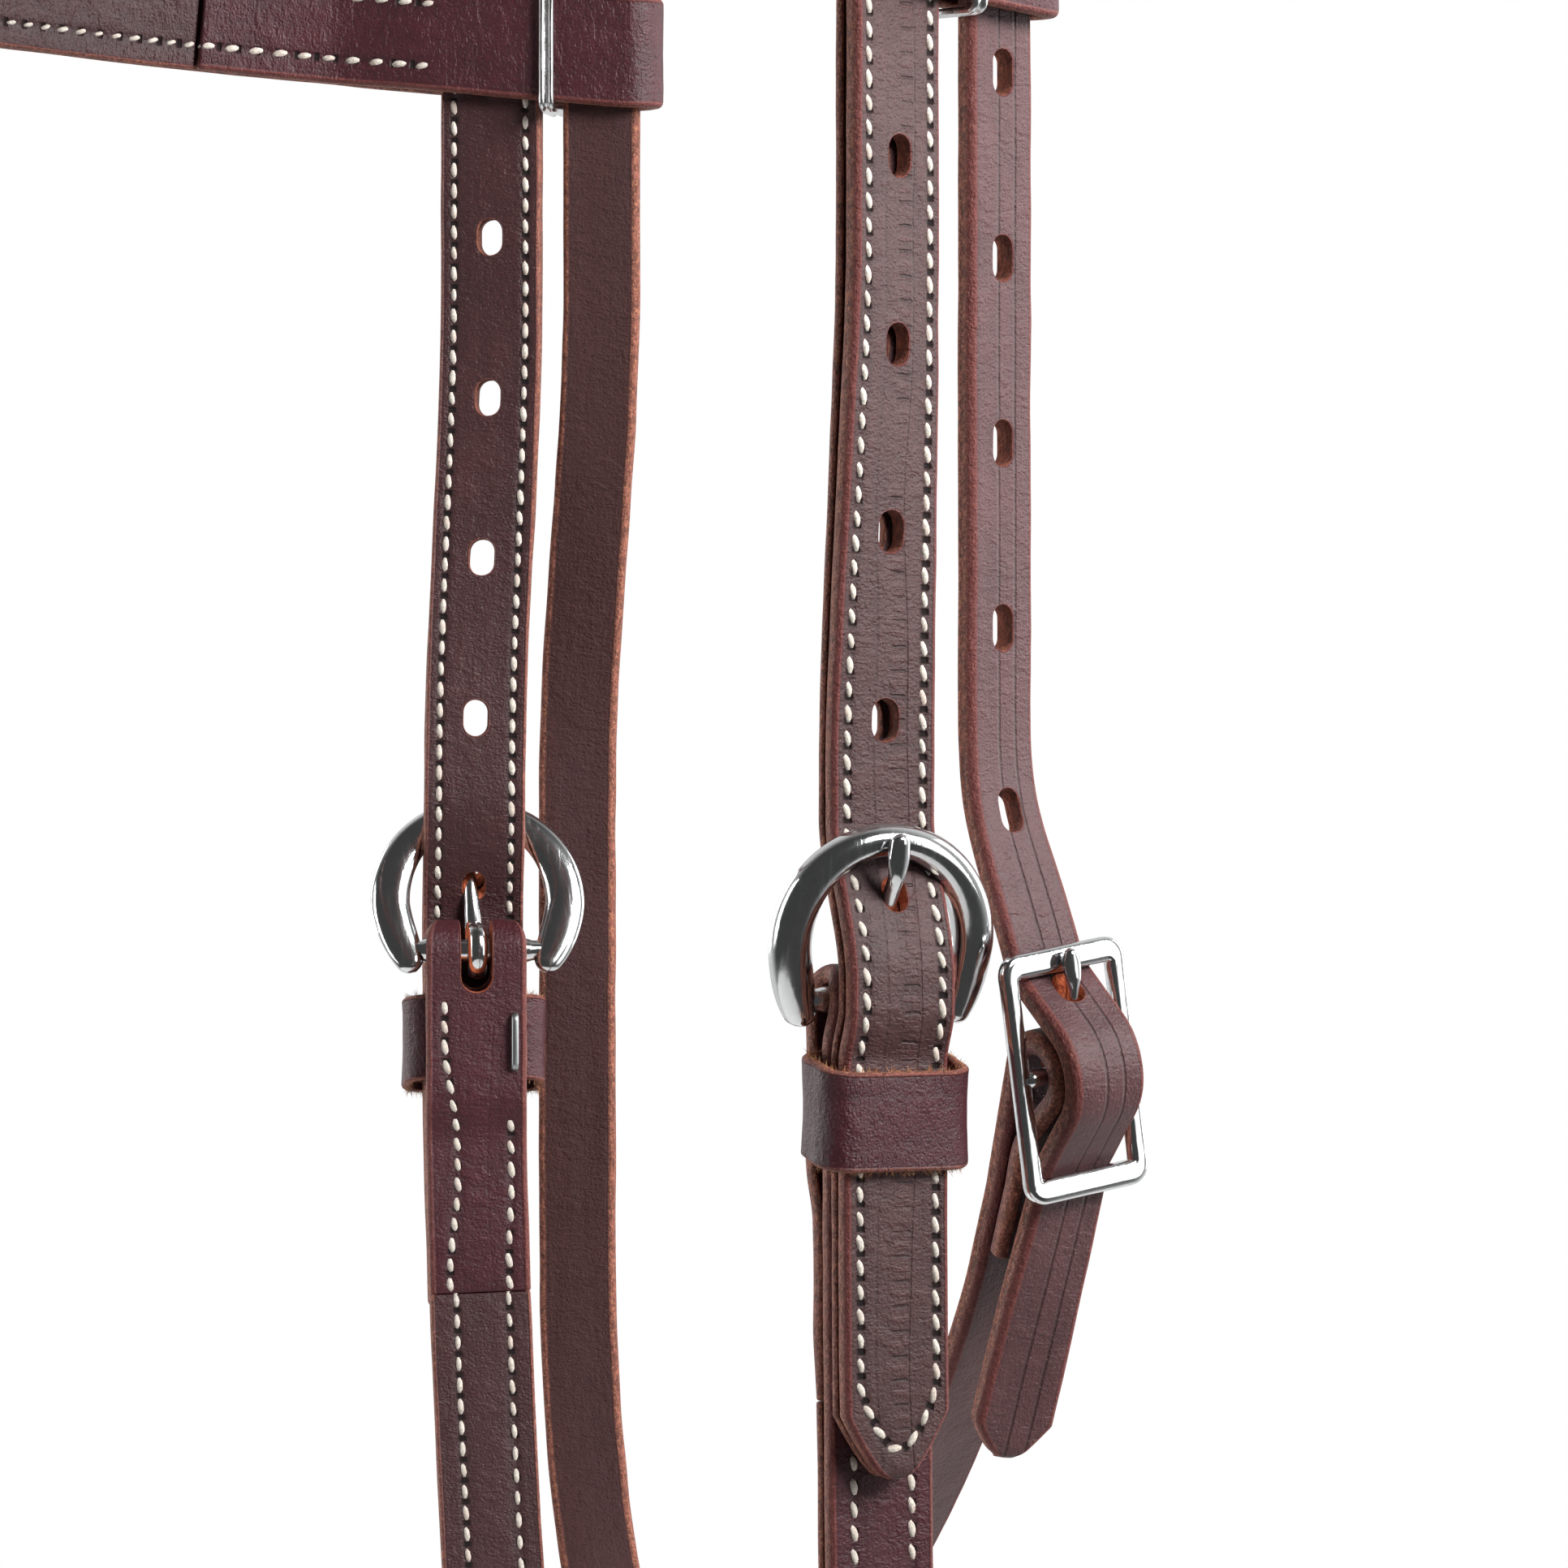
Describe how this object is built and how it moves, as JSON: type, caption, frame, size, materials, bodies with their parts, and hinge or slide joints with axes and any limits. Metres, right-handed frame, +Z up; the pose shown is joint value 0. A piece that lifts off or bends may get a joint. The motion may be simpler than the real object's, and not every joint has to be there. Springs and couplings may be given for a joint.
{
  "type": "western headstall",
  "caption": "Leather browband headstall for a horse, with cheek buckles, keepers, a browband and an adjustable throatlatch.",
  "frame": {"origin": "middle of the crown strap's underside at the poll, where the headstall rests on the horse or on its hook", "axes": "+Z up, -X towards the horse's nose, -Y towards the near (left) side, +Y towards the far side"},
  "size_m": [0.1963, 0.2306, 0.4692],
  "materials": {
    "strap_leather": "oiled harness leather, dark burgundy brown, softly burnished",
    "lining_leather": "oiled leather, reddish chestnut",
    "keeper_leather": "smooth burgundy leather",
    "throat_leather": "single harness leather, greased, with two creased lines",
    "nickel": "polished nickel plate",
    "steel_wire": "plain wire"
  },
  "bodies": {
    "headstall": {"crown_outer": "strap_leather", "crown_lining": "lining_leather", "near_cheek_strap": "strap_leather", "near_cheek_lining": "lining_leather", "near_keeper": "keeper_leather", "near_keeper_staple": "steel_wire", "near_bit_post_upper": "nickel", "near_bit_screw_upper": "nickel", "near_bit_post_lower": "nickel", "near_bit_screw_lower": "nickel", "far_cheek_strap": "strap_leather", "far_cheek_lining": "lining_leather", "far_keeper": "keeper_leather", "far_keeper_staple": "steel_wire", "far_bit_post_upper": "nickel", "far_bit_screw_upper": "nickel", "far_bit_post_lower": "nickel", "far_bit_screw_lower": "nickel", "throat_strap": "throat_leather", "throat_fold_post": "nickel", "throat_fold_screw": "nickel"},
    "browband": {"browband_outer": "strap_leather", "browband_lining": "lining_leather", "near_browband_clip": "nickel", "far_browband_clip": "nickel"},
    "near_frame": {"near_buckle_frame": "nickel"},
    "near_tongue": {"near_buckle_tongue": "nickel"},
    "far_frame": {"far_buckle_frame": "nickel"},
    "far_tongue": {"far_buckle_tongue": "nickel"},
    "throat_frame": {"throat_buckle_frame": "nickel"},
    "throat_tongue": {"throat_buckle_tongue": "nickel"}
  },
  "joints": [
    {"name": "browband_slide", "type": "slide", "parent": "headstall", "child": "browband", "axis": [0, 0, 1], "range_m": [-0.02, 0.004]},
    {"name": "near_frame_swing", "type": "hinge", "parent": "headstall", "child": "near_frame", "pos_m": [-0.00186, -0.09842, -0.2665], "axis": [0.9863, 0.165, 0], "range_deg": [0, 4]},
    {"name": "near_tongue_swing", "type": "hinge", "parent": "near_frame", "child": "near_tongue", "pos_m": [-0.00186, -0.09842, -0.2665], "axis": [0.9863, 0.165, 0], "range_deg": [0, 3]},
    {"name": "far_frame_swing", "type": "hinge", "parent": "headstall", "child": "far_frame", "pos_m": [-0.00323, 0.09843, -0.2655], "axis": [-0.9781, 0.2079, 0], "range_deg": [0, 4]},
    {"name": "far_tongue_swing", "type": "hinge", "parent": "far_frame", "child": "far_tongue", "pos_m": [-0.00323, 0.09843, -0.2655], "axis": [-0.9781, 0.2079, 0], "range_deg": [0, 3]},
    {"name": "throat_frame_tilt", "type": "hinge", "parent": "headstall", "child": "throat_frame", "pos_m": [0.0268, -0.0994, -0.2765], "axis": [0.9406, 0.3056, 0.1478], "range_deg": [-2, 2]},
    {"name": "throat_tongue_swing", "type": "hinge", "parent": "throat_frame", "child": "throat_tongue", "pos_m": [0.0268, -0.0994, -0.2765], "axis": [0.9406, 0.3056, 0.1478], "range_deg": [0, 3]}
  ]
}
